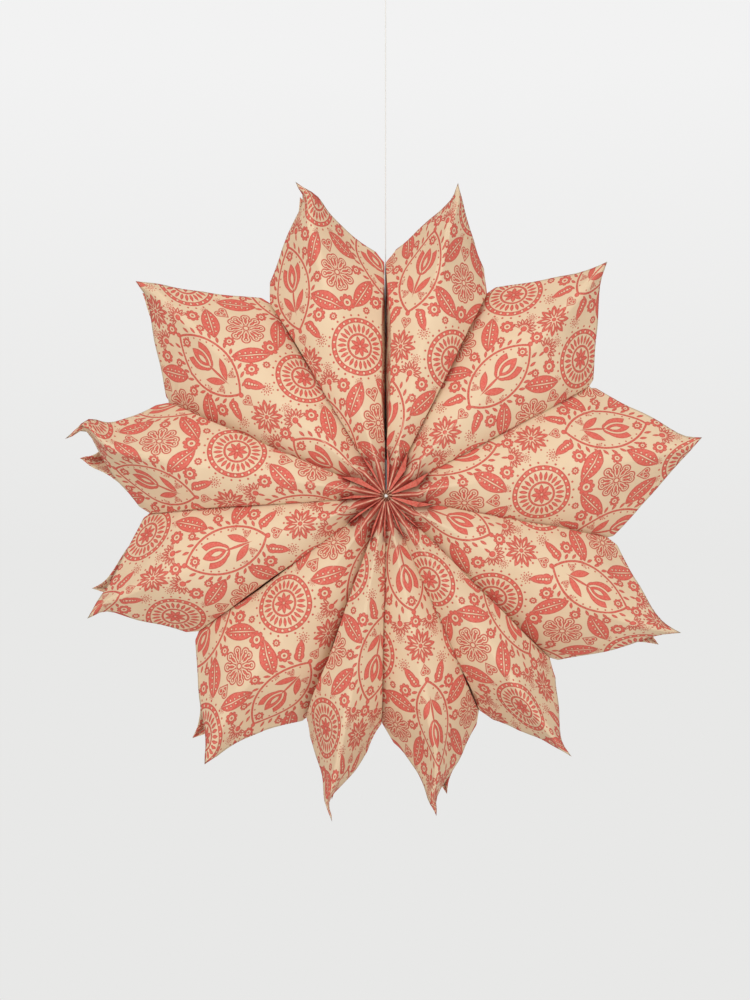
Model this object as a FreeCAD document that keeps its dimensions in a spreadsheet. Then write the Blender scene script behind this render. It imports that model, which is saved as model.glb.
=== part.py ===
import FreeCAD, Part
import math
import os

# A hanging star of twelve flat paper bags. The bags are glued side by side at their bottoms and up
# their middles, their mouths are cut in a V, and they are fanned out into a full ring. The star
# hangs from a thread that comes up through the seam where the first bag meets the last.
# Millimetres and degrees. The origin is the top of the hanging loop, +Z is up, and the front of
# the star faces -Y. The star's axis runs along Y through the hub, below the origin.

Vector = FreeCAD.Vector
doc = FreeCAD.newDocument("paper_star")

# Sizes of one bag, of its opened form and of the thread
SIZES = {
    "paper_thickness": 0.2,
    "bag_half_width": 60.0,
    "tip_length": 188.0,
    "notch_length": 131.0,
    "hub_radius": 3.5,
    "bottom_glue": 1.0,
    "flap_length": 18.5,
    "flap_thickness": 0.4,
    "flap_relax_length": 22.0,
    "seam_gap": 1.0,
    "seam_angle": 90.1,
    "hub_fold_angle": 62.0,
    "crown_edge_angle": 54.0,
    "seam_fold_angle": 26.0,
    "seam_edge_angle": 42.0,
    "bend_share": 0.15,
    "seam_bend_share": 0.04,
    "least_wall_share": 0.05,
    "hub_blend_length": 62.0,
    "last_straight_row": 98.0,
    "tent_start": 104.0,
    "tent_end": 158.0,
    "horn_start": 160.0,
    "horn_angle": 12.0,
    "curl_start": 138.0,
    "hang_drop": 326.0,
    "thread_diameter": 0.6,
    "thread_bend_radius": 1.9,
    "hub_knot_width": 3.2,
    "loop_knot_width": 2.2,
    "loop_knot_height": 3.0,
    "loop_length": 22.0,
    "loop_width": 8.0,
}

# How far each bag is spread, anticlockwise from the seam as seen from the front. The lower ones are
# squeezed by the weight of the others. The last one closes the ring.
SPREADS = [30.8, 36.0, 27.2, 31.9, 34.5, 18.4, 24.7, 21.8, 33.2, 39.9, 35.0]

# How sharply each bag is still creased along its side fold, half way out
RIDGES = [16.0, 18.0, 20.0, 14.0, 14.0, 38.0, 28.0, 34.0, 18.0, 12.0, 16.0, 18.0]

# How far each front tip and each back tip curls sideways, anticlockwise from the front
FRONT_CURLS = [-1.0, 2.5, -6.0, 7.5, 9.0, 0.5, -8.5, 3.0, 6.5, 5.0, 2.0, 1.0]
BACK_CURLS = [1.0, 7.5, 9.5, -8.5, -8.0, 1.0, 1.5, 4.0, -3.0, 2.0, -1.0, -2.0]

BAG_COUNT = len(SPREADS) + 1


def fill_sheet():
    """Write every driving dimension into one spreadsheet, each under a name of its own."""
    sheet = doc.addObject("Spreadsheet::Sheet", "sizes")
    cells = dict(SIZES)
    for number, spread in enumerate(SPREADS, start=1):
        cells["spread_of_bag_%02d" % number] = spread
    for number in range(1, BAG_COUNT + 1):
        cells["ridge_of_bag_%02d" % number] = RIDGES[number - 1]
        cells["front_curl_of_bag_%02d" % number] = FRONT_CURLS[number - 1]
        cells["back_curl_of_bag_%02d" % number] = BACK_CURLS[number - 1]
    for row, (alias, value) in enumerate(cells.items(), start=1):
        sheet.set("A%d" % row, alias.replace("_", " "))
        sheet.set("B%d" % row, str(value))
        sheet.setAlias("B%d" % row, alias)
    doc.recompute()
    return sheet


sheet = fill_sheet()


def size(alias):
    """A driving dimension, as a plain number, read from the sheet."""
    return float(getattr(sheet, alias))


def bag_spread(number):
    """The angle that a bag fills at the hub."""
    if number < BAG_COUNT:
        return size("spread_of_bag_%02d" % number)
    return 360.0 - sum(size("spread_of_bag_%02d" % other) for other in range(1, BAG_COUNT))


def blend(value, low, high):
    """A smooth step from 0 at low to 1 at high."""
    share = min(max((value - low) / (high - low), 0.0), 1.0)
    return share * share * (3.0 - 2.0 * share)


def arc_run(start_slope, end_slope, length):
    """How far across and how far down a strip runs while its slope turns evenly."""
    turn = end_slope - start_slope
    if abs(turn) < 1e-4:
        return length * math.cos(start_slope), length * math.sin(start_slope)
    radius = length / turn
    across = radius * (math.sin(end_slope) - math.sin(start_slope))
    down = radius * (math.cos(start_slope) - math.cos(end_slope))
    return across, down


def mix(first, second, share):
    """A value between two others."""
    return first + (second - first) * share


class Bag:
    """One opened bag in its own frame: x out along its middle, y across it, z to the front."""

    # Strips of paper round a quarter of the section: crown, bend and flat wall
    CROWN_STRIPS = 3
    BEND_STRIPS = 2
    STRIPS = CROWN_STRIPS + BEND_STRIPS + 1

    def __init__(self, number):
        self.number = number
        self.half_spread = math.radians(bag_spread(number) / 2.0)
        self.ridge = math.radians(size("ridge_of_bag_%02d" % number))
        self.half_width = size("bag_half_width")
        self.notch_reach = size("notch_length") * math.cos(self.half_spread)
        self.at_seam = {1: -1, BAG_COUNT: 1}.get(number, 0)
        _, reach = self.centre_and_reach(self.notch_reach)
        self.tent_slope = math.acos(min(reach / self.half_width, 0.95))

    def centre_and_reach(self, x):
        """The middle of the section across the bag, and its half width, less flap and seam gap."""
        relaxed = (x - size("flap_length")) / size("flap_relax_length")
        flap = size("flap_thickness") / math.cos(self.half_spread)
        flap *= min(max(1.0 - relaxed, 0.0), 1.0)
        seam = size("seam_gap") / 2.0 / math.cos(self.half_spread)
        low = -x * math.tan(self.half_spread)
        high = -low - flap
        if self.at_seam < 0:
            low += seam
        if self.at_seam > 0:
            high -= seam
        return (low + high) / 2.0, (high - low) / 2.0

    def slopes(self, x, side):
        """Slopes of the crown at the side fold and at its edge: a vault that ends in a tent."""
        fold = self.ridge
        edge = math.radians(size("crown_edge_angle"))
        if side == self.at_seam:
            fold = math.radians(size("seam_fold_angle"))
            edge = math.radians(size("seam_edge_angle"))
        hub = 1.0 - blend(x, size("flap_length"), size("hub_blend_length"))
        fold = mix(fold, math.radians(size("hub_fold_angle")), hub)
        tent = blend(x, size("tent_start"), size("tent_end"))
        horn = math.radians(size("horn_angle")) * blend(x, size("horn_start"), size("tip_length"))
        fold = mix(fold, self.tent_slope, tent) + horn
        edge = mix(max(edge, fold), self.tent_slope + horn, tent)
        return fold, edge

    def quarter(self, x, side):
        """The crown's slopes and length, and the bend's radius, on one side of the section at x."""
        inside = min(x, self.notch_reach)
        _, reach = self.centre_and_reach(inside)
        fold, edge = self.slopes(inside, side)
        share = size("seam_bend_share") if side == self.at_seam else size("bend_share")
        bend = share * reach
        ease = self.ease_to_fit(reach, fold, edge, bend)
        fold, edge = fold * ease, edge * ease
        across, _ = arc_run(fold, edge, 1.0)
        bend_across, _ = arc_run(edge, math.pi / 2.0, bend * (math.pi / 2.0 - edge))
        crown = (reach - bend_across) / across
        if x > inside:
            fold, edge = self.slopes(x, side)
        return fold, edge, crown, bend

    def ease_to_fit(self, reach, fold, edge, bend):
        """Flatter slopes, as a share, where a wide bag has too little paper to stand up."""
        paper = self.half_width * (1.0 - size("least_wall_share"))

        def width_at(ease):
            bent = bend * (math.pi / 2.0 - edge * ease)
            crown_across, _ = arc_run(fold * ease, edge * ease, paper - bent)
            bend_across, _ = arc_run(edge * ease, math.pi / 2.0, bent)
            return crown_across + bend_across

        if width_at(1.0) >= reach:
            return 1.0
        low, high = 0.0, 1.0
        for _ in range(30):
            middle = (low + high) / 2.0
            if width_at(middle) >= reach:
                low = middle
            else:
                high = middle
        return low

    def paper_ends(self, x, side):
        """Where each strip ends across the paper, from the side fold to the glue line."""
        _, edge, crown, bend = self.quarter(x, side)
        bent = bend * max(math.pi / 2.0 - edge, 0.0)
        ends = [crown * step / self.CROWN_STRIPS for step in range(self.CROWN_STRIPS + 1)]
        ends += [crown + bent * step / self.BEND_STRIPS for step in range(1, self.BEND_STRIPS + 1)]
        ends.append(max(self.half_width, ends[-1]))
        return ends

    def section(self, x, side):
        """Points of a quarter section as (across, down, slope), from the side fold to the glue."""
        fold, edge, crown, bend = self.quarter(x, side)
        ends = self.paper_ends(x, side)
        points = []
        for end in ends[:self.CROWN_STRIPS + 1]:
            slope = mix(fold, edge, end / crown)
            points.append(arc_run(fold, slope, end) + (slope,))
        across, down, _ = points[-1]
        for end in ends[self.CROWN_STRIPS + 1:-1]:
            slope = edge + (end - crown) / bend
            over, under = arc_run(edge, slope, end - crown)
            points.append((across + over, down + under, slope))
        across, down, slope = points[-1]
        wall = ends[-1] - ends[-2]
        points.append((across + wall * math.cos(slope), down + wall * math.sin(slope), slope))
        return points

    def fold_height(self, x):
        """The side fold's height above the middle of the star. Past the notch it runs straight."""
        inside = min(x, self.notch_reach)
        height = self.section(inside, -self.at_seam or 1)[-1][1]
        slope = (height - self.half_width) / self.notch_reach
        return height + slope * (x - inside)

    def mouth_reach(self, side, strip):
        """How far out the mouth lies at the end of a strip: the paper is cut straight to the notch."""
        tip = size("tip_length")
        reach = self.notch_reach
        for _ in range(12):
            share = min(self.paper_ends(reach, side)[strip] / self.half_width, 1.0)
            reach = tip - (tip - self.notch_reach) * share
        return reach

    def point(self, x, side, front, strip, inset):
        """A corner of the paper's facets, on its outer face or inset to its inner one."""
        points = self.section(x, side)
        across, down, slope = points[strip]
        height = self.fold_height(x)
        stretch = height / points[-1][1] if x <= self.notch_reach else 1.0
        inward = inset * across / points[-1][0]
        sunk = 0.0
        if strip < self.STRIPS - 1:
            sunk = (inset - inward * math.sin(slope)) / math.cos(slope)
        y = across - inward
        z = height - down * stretch - sunk
        centre, _ = self.centre_and_reach(x)
        kind = "front" if front > 0 else "back"
        curl = size("%s_curl_of_bag_%02d" % (kind, self.number))
        curl *= max((x - size("curl_start")) / (size("tip_length") - size("curl_start")), 0.0) ** 2
        return Vector(x, centre + side * y + curl, front * z)


# Rows of facets in the mouth, as shares of the way from the last straight row out to the cut edge
MOUTH_ROWS = (0.3, 0.56, 0.8, 1.0)


def row_reaches(bag, side, start):
    """The reach of each row of facets, for the end of each strip of a quarter section."""
    relaxed = size("flap_length") + size("flap_relax_length")
    last = size("last_straight_row")
    straight = [start, size("flap_length"), relaxed, (relaxed + last) / 2.0, last]
    mouth = [bag.mouth_reach(side, strip) for strip in range(bag.STRIPS + 1)]
    rows = [[reach] * len(mouth) for reach in straight]
    for out in MOUTH_ROWS:
        rows.append([mix(last, reach, out) for reach in mouth])
    return rows


def paper_face(bag, inset):
    """Rows of corners round the bag, from the hub to the mouth, on one face of its paper."""
    start = size("hub_radius") + (size("bottom_glue") if inset else 0.0)
    quarters = []
    for front, side in ((1, 1), (-1, 1), (-1, -1), (1, -1)):
        rows = row_reaches(bag, side, start)
        strips = list(range(len(rows[0])))
        if front * side < 0:
            strips.reverse()
        quarters.append([[bag.point(row[strip], side, front, strip, inset) for strip in strips[:-1]]
                         for row in rows])
    return [sum((quarter[row] for quarter in quarters), []) for row in range(len(quarters[0]))]


def facet(*corners):
    """A flat facet of the paper."""
    return Part.Face(Part.makePolygon(list(corners) + [corners[0]]))


def band(inner_ring, outer_ring):
    """Two facets for each step along a band between two rings of corners."""
    facets = []
    count = len(inner_ring)
    for here in range(count):
        there = (here + 1) % count
        facets.append(facet(inner_ring[here], inner_ring[there], outer_ring[there]))
        facets.append(facet(inner_ring[here], outer_ring[there], outer_ring[here]))
    return facets


def closed_bottom(ring):
    """The narrow end of the bag at the hub: facets across from one side to the other."""
    count = len(ring)
    half = count // 2
    facets = []
    for step in range(half):
        left, right = ring[-step % count], ring[step]
        next_left, next_right = ring[(-step - 1) % count], ring[step + 1]
        if step == 0:
            facets.append(facet(left, next_right, next_left))
        elif step == half - 1:
            facets.append(facet(left, right, next_right))
        else:
            facets.append(facet(left, right, next_right))
            facets.append(facet(left, next_right, next_left))
    return facets


def bag_paper(bag):
    """The opened bag as one closed solid of folded paper."""
    outside = paper_face(bag, 0.0)
    inside = paper_face(bag, size("paper_thickness"))
    facets = closed_bottom(outside[0]) + closed_bottom(inside[0])
    for rings in (outside, inside):
        for row in range(len(rings) - 1):
            facets += band(rings[row], rings[row + 1])
    facets += band(outside[-1], inside[-1])
    shell = Part.Shell(facets)
    solid = Part.Solid(shell)
    if solid.Volume < 0:
        solid.reverse()
    return solid


def bottom_flap(bag):
    """The folded-over bottom, lying against the bag's side in the plane where its neighbour starts."""
    tangent = math.tan(bag.half_spread)
    thickness = size("flap_thickness") / math.cos(bag.half_spread)
    seam = size("seam_gap") / 2.0 / math.cos(bag.half_spread) if bag.at_seam > 0 else 0.0
    start, end = size("hub_radius"), size("flap_length")
    half_width = size("bag_half_width") - size("paper_thickness")
    corners = [(start, start * tangent - seam), (end, end * tangent - seam),
               (end, end * tangent - thickness - seam), (start, start * tangent - thickness - seam)]
    outline = [Vector(x, y, -half_width) for x, y in corners]
    return facet(*outline).extrude(Vector(0, 0, 2.0 * half_width))


def place_in_star(feature, middle_angle):
    """Stand a bag in the star: its own x points out at the angle, its own z to the front."""
    turn = FreeCAD.Rotation(Vector(0, -1, 0), middle_angle)
    stand = FreeCAD.Rotation(Vector(1, 0, 0), 90)
    feature.Placement = FreeCAD.Placement(Vector(0, 0, -size("hang_drop")), turn * stand)


def add_bags():
    """The twelve bags, anticlockwise from the seam."""
    features = []
    edge_angle = size("seam_angle")
    for number in range(1, BAG_COUNT + 1):
        bag = Bag(number)
        name = "bag_%02d" % number
        feature = doc.addObject("Part::Feature", name)
        feature.Label = name
        paper = bag_paper(bag)
        flap = bottom_flap(bag)
        feature.Shape = paper.fuse(flap)
        print(name, "paper", round(paper.Volume), "flap", round(flap.Volume),
              "whole", round(feature.Shape.Volume), "solids", len(feature.Shape.Solids))
        place_in_star(feature, edge_angle + bag_spread(number) / 2.0)
        edge_angle += bag_spread(number)
        features.append(feature)
    return features


def tube(path, diameter, start, direction):
    """A round thread along a path of straight runs and arcs."""
    profile = Part.Wire([Part.Edge(Part.Circle(start, direction, diameter / 2.0))])
    return path.makePipeShell([profile], True, False)


def add_thread():
    """The thread: along the hub from the front knot, then straight up through the seam."""
    hub = Vector(0, 0, -size("hang_drop"))
    radius = size("thread_bend_radius")
    front = hub + Vector(0, -size("bag_half_width") - size("hub_knot_width") * 0.3, 0)
    turn_start = hub + Vector(0, -radius, 0)
    turn_end = hub + Vector(0, 0, radius)
    turn_middle = hub + Vector(0, -radius * (1 - math.sin(math.pi / 4)), radius * (1 - math.sin(math.pi / 4)))
    top = Vector(0, 0, -size("loop_length") - size("loop_knot_height"))
    path = Part.Wire([Part.LineSegment(front, turn_start).toShape(),
                      Part.Arc(turn_start, turn_middle, turn_end).toShape(),
                      Part.LineSegment(turn_end, top).toShape()])
    feature = doc.addObject("Part::Feature", "hanging_thread")
    feature.Label = "hanging_thread"
    feature.Shape = tube(path, size("thread_diameter"), front, Vector(0, 1, 0))
    print("hanging_thread length", round(path.Length, 1), "bend radius", radius)
    return feature


def add_loop():
    """The hanging loop: up from the loop knot, round the hook's place and back down."""
    low = -size("loop_length")
    radius = size("loop_width") / 2.0
    high = -radius - size("thread_diameter") / 2.0
    foot = size("thread_diameter") * 0.55
    lean = math.atan2(radius - foot, high - low)
    start = Vector(-foot, 0, low)
    end = Vector(foot, 0, low)
    shoulder = Vector(-radius, 0, high)
    other = Vector(radius, 0, high)
    crown = Vector(0, 0, high + radius)
    path = Part.Wire([Part.LineSegment(start, shoulder).toShape(),
                      Part.Arc(shoulder, crown, other).toShape(),
                      Part.LineSegment(other, end).toShape()])
    feature = doc.addObject("Part::Feature", "thread_loop")
    feature.Label = "thread_loop"
    direction = Vector(-math.sin(lean), 0, math.cos(lean))
    feature.Shape = tube(path, size("thread_diameter"), start, direction)
    print("thread_loop length", round(path.Length, 1), "radius", radius)
    return feature


def add_knots():
    """The stopper knot at the front of the hub and the knot that closes the hanging loop."""
    hub_knot = doc.addObject("Part::Ellipsoid", "hub_knot")
    hub_knot.Label = "hub_knot"
    for radius in ("Radius1", "Radius2", "Radius3"):
        hub_knot.setExpression(radius, "sizes.hub_knot_width / 2")
    hub_knot.Placement.Base = Vector(0, -size("bag_half_width") - size("hub_knot_width") * 0.8,
                                     -size("hang_drop"))
    loop_knot = doc.addObject("Part::Cylinder", "loop_knot")
    loop_knot.Label = "loop_knot"
    loop_knot.setExpression("Radius", "sizes.loop_knot_width / 2")
    loop_knot.setExpression("Height", "sizes.loop_knot_height")
    loop_knot.Placement.Base = Vector(0, 0, -size("loop_length") - size("loop_knot_height"))
    return [hub_knot, loop_knot]


def check_and_export(features):
    """Recompute, refuse anything failed or empty, and write one file for each piece."""
    doc.recompute()
    for item in doc.Objects:
        if "Invalid" in item.State or "Error" in item.State:
            raise RuntimeError(item.Label + " failed to recompute")
    os.makedirs("parts", exist_ok=True)
    for feature in features:
        if feature.Shape.isNull() or not feature.Shape.isValid():
            raise RuntimeError(feature.Label + " has no valid shape")
    for feature in features:
        feature.Shape.exportStep("parts/%s.step" % feature.Label)


check_and_export(add_bags() + [add_thread(), add_loop()] + add_knots())
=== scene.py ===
import math

import bpy
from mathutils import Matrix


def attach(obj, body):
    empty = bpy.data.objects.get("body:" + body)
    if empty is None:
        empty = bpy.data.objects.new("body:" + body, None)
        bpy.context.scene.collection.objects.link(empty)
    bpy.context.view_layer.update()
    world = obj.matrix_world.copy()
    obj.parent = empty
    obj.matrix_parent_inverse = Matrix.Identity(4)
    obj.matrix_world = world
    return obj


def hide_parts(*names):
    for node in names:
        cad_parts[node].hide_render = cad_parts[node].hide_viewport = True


# A hanging star of twelve flat paper bags, glued side by side and fanned out round a hub. Sizes are
# in millimetres where a comment or a name says so, and are turned to metres when a mesh is made.

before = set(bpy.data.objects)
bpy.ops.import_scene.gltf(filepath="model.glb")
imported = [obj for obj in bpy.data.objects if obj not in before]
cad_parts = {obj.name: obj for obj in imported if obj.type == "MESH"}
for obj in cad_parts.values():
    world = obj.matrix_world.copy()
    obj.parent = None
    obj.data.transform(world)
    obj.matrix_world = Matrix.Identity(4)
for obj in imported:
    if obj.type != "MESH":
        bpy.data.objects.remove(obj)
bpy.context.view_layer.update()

MM = 0.001

# Camera, level with the star and straight in front of it
PICTURE_HEIGHT = 0.5975
CAMERA_DISTANCE = 1.5
PICTURE_CENTRE = (-0.0063, 0.0, -0.3284)
SENSOR = 36.0


def add_camera():
    """A camera that shows the star at the photograph's scale."""
    lens = bpy.data.cameras.new("camera")
    lens.sensor_fit = "VERTICAL"
    lens.sensor_height = SENSOR
    lens.lens = SENSOR * CAMERA_DISTANCE / PICTURE_HEIGHT
    camera = bpy.data.objects.new("camera", lens)
    camera.location = (PICTURE_CENTRE[0], -CAMERA_DISTANCE, PICTURE_CENTRE[2])
    camera.rotation_euler = (math.radians(90.0), 0.0, 0.0)
    bpy.context.scene.collection.objects.link(camera)
    bpy.context.scene.camera = camera


add_camera()

# Thread, in metres: the knot in front of the hub, the hub's corner and the top under the loop
HANG_DROP = 0.326
THREAD_DIAMETER = 0.0006
THREAD_ROUTE = [
    (0.0, -0.0606, -HANG_DROP),
    (0.0, -0.0036, -HANG_DROP),
    (0.0, 0.0, -HANG_DROP),
    (0.0, 0.0, -HANG_DROP + 0.0036),
    (0.0, 0.0, -0.025),
]

# The hanging loop, up one side, over the hook's place and down the other
LOOP_ROUTE = [
    (-0.00033, 0.0, -0.022),
    (-0.0022, 0.0, -0.0130),
    (-0.0042, 0.0, -0.0052),
    (-0.0039, 0.0, -0.0010),
    (-0.0015, 0.0, 0.0),
    (0.0015, 0.0, 0.0),
    (0.0039, 0.0, -0.0010),
    (0.0042, 0.0, -0.0052),
    (0.0022, 0.0, -0.0130),
    (0.00033, 0.0, -0.022),
]


def thread_piece(name, route):
    """A round thread along a route, as one smooth spline."""
    curve = bpy.data.curves.new(name, "CURVE")
    curve.dimensions = "3D"
    curve.bevel_depth = THREAD_DIAMETER / 2.0
    curve.bevel_resolution = 3
    curve.use_fill_caps = True
    spline = curve.splines.new("NURBS")
    spline.points.add(len(route) - 1)
    for point, place in zip(spline.points, route):
        point.co = (*place, 1.0)
    spline.order_u = 3
    spline.use_endpoint_u = True
    spline.resolution_u = 12
    piece = bpy.data.objects.new(name, curve)
    bpy.context.scene.collection.objects.link(piece)
    return piece


thread = thread_piece("cotton_hanging_thread", THREAD_ROUTE)
loop = thread_piece("cotton_thread_loop", LOOP_ROUTE)


def wound_knot(name, places):
    """A knot of the same thread, as a closed winding through the places."""
    curve = bpy.data.curves.new(name, "CURVE")
    curve.dimensions = "3D"
    curve.bevel_depth = THREAD_DIAMETER / 2.0 * 1.1
    curve.bevel_resolution = 2
    spline = curve.splines.new("NURBS")
    spline.points.add(len(places) - 1)
    for point, place in zip(spline.points, places):
        point.co = (*place, 1.0)
    spline.order_u = 3
    spline.use_cyclic_u = True
    spline.resolution_u = 3
    winding = bpy.data.objects.new(name + "_winding", curve)
    bpy.context.scene.collection.objects.link(winding)
    mesh = bpy.data.meshes.new_from_object(winding.evaluated_get(bpy.context.evaluated_depsgraph_get()))
    bpy.data.objects.remove(winding)
    mesh.name = name
    for polygon in mesh.polygons:
        polygon.use_smooth = True
    knot = bpy.data.objects.new(name, mesh)
    bpy.context.scene.collection.objects.link(knot)
    return knot


def stopper_knot():
    """The double knot in front of the hub: a small clover of thread."""
    places = []
    for step in range(36):
        turn = 2.0 * math.pi * step / 36.0
        out = 0.46 + 0.22 * math.cos(3.0 * turn)
        places.append((out * math.cos(2.0 * turn) * MM,
                       -61.6 * MM + 0.5 * math.sin(3.0 * turn) * MM,
                       -HANG_DROP + out * math.sin(2.0 * turn) * MM))
    return wound_knot("cotton_stopper_knot", places)


def loop_knot():
    """The overhand knot that closes the hanging loop: three turns round both threads."""
    places = []
    for step in range(40):
        share = step / 40.0
        turn = 2.0 * math.pi * 3.0 * share
        height = -0.5 * math.cos(2.0 * math.pi * share)
        out = 0.62 + 0.12 * math.cos(2.0 * turn)
        places.append((out * math.cos(turn) * MM, out * math.sin(turn) * MM, (-23.5 + 2.1 * height) * MM))
    return wound_knot("cotton_loop_knot", places)


knot_at_hub = stopper_knot()
knot_at_loop = loop_knot()

# The opened bags, in millimetres and degrees. Their paper and spread are the part's, and the notches,
# the horns and the curls of the tips follow the photograph a little closer than the part does.
HALF_WIDTH = 60.0
TIP_LENGTH = 188.0
NOTCH_LENGTH = 136.0
HUB_RADIUS = 3.5
PAPER = 0.2
SEAM_GAP = 1.4
SEAM_ANGLE = 90.1
HUB_FOLD_ANGLE = 62.0
CROWN_EDGE_ANGLE = 54.0
SEAM_FOLD_ANGLE = 26.0
SEAM_EDGE_ANGLE = 42.0
BEND_SHARE = 0.15
SEAM_BEND_SHARE = 0.04
MOUTH_BEND_SHARE = 0.35
SEAM_LEAN_WIDTH = 2.3
SEAM_LEAN_DEPTH = 13.0
MOST_LEANING = 0.6
LEAST_WALL_SHARE = 0.05
HUB_BLEND_LENGTH = 62.0
LAST_STRAIGHT_ROW = 98.0
TENT_START = 104.0
TENT_END = 158.0
HORN_START = 156.0
HORN_ANGLE = 19.0
CURL_START = 138.0
STEEPEST_TENT = 0.95
SPREADS = [30.8, 36.0, 27.2, 31.9, 34.5, 18.4, 24.7, 21.8, 34.0, 39.1, 35.0, 26.6]
RIDGES = [16.0, 18.0, 20.0, 14.0, 14.0, 38.0, 28.0, 34.0, 18.0, 12.0, 16.0, 18.0]
NOTCH_CHANGES = [-3.0, 4.5, 4.0, 1.0, 3.0, -1.5, 3.0, 1.0, -2.0, 2.0, -2.5, 3.0]
TIP_CHANGES = [2.5, 5.0, 1.0, 0.0, 1.0, 2.5, -0.5, -3.0, 2.0, 1.0, 0.5, -1.5]
FRONT_SWAYS = [-5.0, -2.0, -10.5, -2.0, 1.5, -4.0, -3.0, -1.0, 0.0, -1.5, 0.5, -1.5]
BACK_SWAYS = [0.0, 2.0, 3.0, 0.0, 0.0, 0.0, 0.0, 0.0, 0.0, 0.0, 0.0, 0.0]
FRONT_CURLS = [1.5, 1.5, -2.0, 7.5, 9.0, 3.0, -7.5, 3.0, 9.0, 5.0, 2.0, 1.0]
BACK_CURLS = [1.0, 4.0, 8.0, -8.5, -6.0, 1.0, 1.5, 4.0, -3.0, 2.0, -1.0, -2.0]

# The bottom flap: its length, and how far its free end has sprung open on each bag
FLAP_LENGTH = 18.5
GLUE_STRIP_LENGTH = 8.0
GLUE_STRIP_RECESS = 3.0
FLAP_ROWS = 6

# The pinched bottom folds: how far from the hub's middle they stop, which leaves room for the
# thread, and how far their ridges and the valleys between them lie behind the bags' front edges
THREAD_ROOM = 0.6
RIDGE_DEPTH = 0.3
VALLEY_DEPTH = 3.0

# The glue in the closing seam: its half width, where it starts and ends out from the hub, and where
# it lies from front to back, clear of the thread
SEAM_GLUE_HALF_WIDTH = 1.1
SEAM_GLUE_START = 22.0
SEAM_GLUE_END = 104.0
SEAM_GLUE_FRONT = 8.0
SEAM_GLUE_BACK = 14.0
FLAP_OPENINGS = [1.4, 3.6, 1.6, 1.2, 1.2, 0.9, 0.9, 0.9, 3.4, 3.8, 3.6, 1.4]

# Fineness of the paper: strips round a quarter of the section, and rows out to the mouth
CROWN_STRIPS = 13
BEND_STRIPS = 6
WALL_STRIPS = 3
STRAIGHT_ROWS = 30
MOUTH_ROWS = 30

# Where the print starts on each bag, along it and across it, in millimetres
PRINT_STARTS = [(4, 10), (9, 24), (2, 13), (40, 38), (6, 11), (44, 20), (3, 33), (38, 9), (7, 27), (1, 14),
                (42, 35), (5, 22)]


def blend(value, low, high):
    """A smooth step from 0 at low to 1 at high."""
    share = min(max((value - low) / (high - low), 0.0), 1.0)
    return share * share * (3.0 - 2.0 * share)


def mix(first, second, share):
    """A value between two others."""
    return first + (second - first) * share


def arc_run(start_slope, end_slope, length):
    """How far across and how far down a strip runs while its slope turns evenly."""
    turn = end_slope - start_slope
    if abs(turn) < 1e-4:
        return length * math.cos(start_slope), length * math.sin(start_slope)
    radius = length / turn
    across = radius * (math.sin(end_slope) - math.sin(start_slope))
    down = radius * (math.cos(start_slope) - math.cos(end_slope))
    return across, down


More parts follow.
